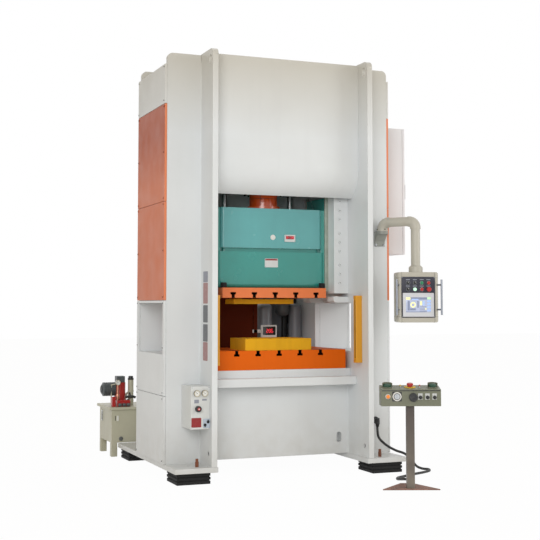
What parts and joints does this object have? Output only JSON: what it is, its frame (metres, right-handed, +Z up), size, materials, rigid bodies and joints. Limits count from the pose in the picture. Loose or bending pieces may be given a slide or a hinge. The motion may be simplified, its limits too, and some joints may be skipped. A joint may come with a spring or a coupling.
{
  "type": "servo press",
  "caption": "Straight-side servo press with open feed windows, a plunger-driven slide over a T-slotted bolster, a swinging pendant, a two-hand control stand and a hydraulic unit.",
  "frame": {"origin": "centre of the four anchor holes on the floor", "axes": "+Z up, -Y towards the operator at the front, +X to the operator's right seen from the front"},
  "size_m": [2.609, 3.427, 3.65],
  "materials": {
    "white_paint": "satin enamel",
    "orange_paint": "satin enamel",
    "guard_paint": "satin enamel",
    "green_paint": "gloss enamel over a casting",
    "yellow_paint": "satin enamel",
    "machined_steel": "turned and ground",
    "dark_steel": "black oxide",
    "guide_liner": "scraped bearing face",
    "rubber": "moulded",
    "rusty_steel": "weathered",
    "grey_paint": "satin enamel",
    "pale_box_paint": "powder coat",
    "machine_grey": "satin enamel",
    "pendant_paint": "powder coat",
    "screen_bezel": "moulded",
    "black_plastic": "moulded",
    "bright_plated": "plated",
    "green_plastic": "moulded",
    "red_plastic": "moulded",
    "white_plastic": "moulded lens",
    "cable_jacket": "extruded",
    "tank_paint": "satin enamel",
    "pump_red": "gloss enamel"
  },
  "bodies": {
    "frame": {"left_side_plate": "white_paint", "right_side_plate": "white_paint", "left_column": "white_paint", "right_column": "white_paint", "crown": "white_paint", "crown_cover": "white_paint", "bed": "white_paint", "bolster": "orange_paint", "plunger_guide": "machined_steel", "gibs": "white_paint", "gib_liners": "guide_liner", "gib_bolts": "dark_steel", "left_orange_covers": "orange_paint", "left_white_covers": "white_paint", "right_orange_covers": "orange_paint", "right_white_covers": "white_paint", "machine_mounts": "rubber", "levelling_bolts": "rusty_steel", "light_curtains": "yellow_paint", "air_panel": "pale_box_paint", "balancer_cylinders": "dark_steel", "gear_case": "white_paint", "servo_motor": "machine_grey", "rear_guard": "guard_paint", "air_reservoirs": "machine_grey", "lower_die": "yellow_paint", "cabinet_body": "pale_box_paint", "arm_bracket": "machine_grey", "control_stand": "grey_paint", "console_box": "grey_paint", "stand_cable": "cable_jacket", "cable_gland": "black_plastic", "oil_tank": "tank_paint", "pump_motor": "machine_grey", "oil_pump": "pump_red"},
    "plunger": {"plunger": "orange_paint"},
    "slide": {"slide_body": "green_paint", "slide_cover": "green_paint", "slide_plate": "orange_paint", "upper_die": "yellow_paint", "stroke_counter": "machined_steel", "balancer_rods": "machined_steel"},
    "pendant_arm": {"pendant_arm": "pendant_paint"},
    "pendant": {"pendant_box": "pendant_paint", "touch_screen": "screen_bezel", "pendant_handles": "machined_steel"},
    "cabinet_door": {"cabinet_door": "pale_box_paint"},
    "regulator_knob": {"regulator_knob": "black_plastic"},
    "mode_selector": {"mode_selector": "black_plastic"},
    "key_selector": {"key_selector": "bright_plated"},
    "start_button": {"start_button": "green_plastic"},
    "stop_button": {"stop_button": "red_plastic"},
    "lamp_selector": {"lamp_selector": "black_plastic"},
    "reset_button": {"reset_button": "white_plastic"},
    "fault_button": {"fault_button": "red_plastic"},
    "pendant_estop": {"pendant_estop": "red_plastic"},
    "left_palm_button": {"left_palm_button": "green_plastic"},
    "right_palm_button": {"right_palm_button": "green_plastic"},
    "console_estop": {"console_estop": "red_plastic"},
    "console_key": {"console_key": "bright_plated"}
  },
  "joints": [
    {"name": "press_stroke", "type": "slide", "parent": "frame", "child": "plunger", "axis": [0, 0, 1], "range_m": [-0.2, 0]},
    {"name": "shut_height", "type": "slide", "parent": "plunger", "child": "slide", "axis": [0, 0, 1], "range_m": [-0.08, 0]},
    {"name": "arm_swing", "type": "hinge", "parent": "frame", "child": "pendant_arm", "pos_m": [0.974, -0.7, 2.147], "axis": [0, 0, 1], "range_deg": [-29, 46]},
    {"name": "pendant_turn", "type": "hinge", "parent": "pendant_arm", "child": "pendant", "pos_m": [1.16133, -0.97773, 1.766], "axis": [0, 0, 1], "range_deg": [-150, 150]},
    {"name": "door_hinge", "type": "hinge", "parent": "frame", "child": "cabinet_door", "pos_m": [1.393, 0.249, 1.957], "axis": [0, 0, 1], "range_deg": [0, 110]},
    {"name": "regulator_turn", "type": "hinge", "parent": "frame", "child": "regulator_knob", "pos_m": [-0.85624, -0.9, 0.616], "axis": [0, -1, 0], "continuous": true},
    {"name": "mode_selector_turn", "type": "hinge", "parent": "pendant", "child": "mode_selector", "pos_m": [1.0463, -1.04149, 1.67], "axis": [-0.2756, -0.9613, 0], "range_deg": [-45, 45]},
    {"name": "key_selector_turn", "type": "hinge", "parent": "pendant", "child": "key_selector", "pos_m": [1.1059, -1.05858, 1.67], "axis": [-0.2756, -0.9613, 0], "range_deg": [-45, 45]},
    {"name": "start_button_push", "type": "slide", "parent": "pendant", "child": "start_button", "axis": [0.2756, 0.9613, 0], "range_m": [0, 0.004], "stiffness_N_per_m": 900},
    {"name": "stop_button_push", "type": "slide", "parent": "pendant", "child": "stop_button", "axis": [0.2756, 0.9613, 0], "range_m": [0, 0.004], "stiffness_N_per_m": 900},
    {"name": "lamp_selector_turn", "type": "hinge", "parent": "pendant", "child": "lamp_selector", "pos_m": [1.0463, -1.04149, 1.613], "axis": [-0.2756, -0.9613, 0], "range_deg": [-45, 45]},
    {"name": "reset_button_push", "type": "slide", "parent": "pendant", "child": "reset_button", "axis": [0.2756, 0.9613, 0], "range_m": [0, 0.004], "stiffness_N_per_m": 900},
    {"name": "fault_button_push", "type": "slide", "parent": "pendant", "child": "fault_button", "axis": [0.2756, 0.9613, 0], "range_m": [0, 0.004], "stiffness_N_per_m": 900},
    {"name": "pendant_estop_push", "type": "slide", "parent": "pendant", "child": "pendant_estop", "axis": [0.2756, 0.9613, 0], "range_m": [0, 0.004], "stiffness_N_per_m": 900},
    {"name": "left_palm_button_push", "type": "slide", "parent": "frame", "child": "left_palm_button", "axis": [0.0566, 0.1475, -0.9874], "range_m": [0, 0.006], "stiffness_N_per_m": 900},
    {"name": "right_palm_button_push", "type": "slide", "parent": "frame", "child": "right_palm_button", "axis": [0.0566, 0.1475, -0.9874], "range_m": [0, 0.006], "stiffness_N_per_m": 900},
    {"name": "console_estop_push", "type": "slide", "parent": "frame", "child": "console_estop", "axis": [0.0566, 0.1475, -0.9874], "range_m": [0, 0.006], "stiffness_N_per_m": 900},
    {"name": "console_key_turn", "type": "hinge", "parent": "frame", "child": "console_key", "pos_m": [0.52469, -1.79316, 0.743], "axis": [-0.3584, -0.9336, 0], "range_deg": [0, 90]}
  ]
}
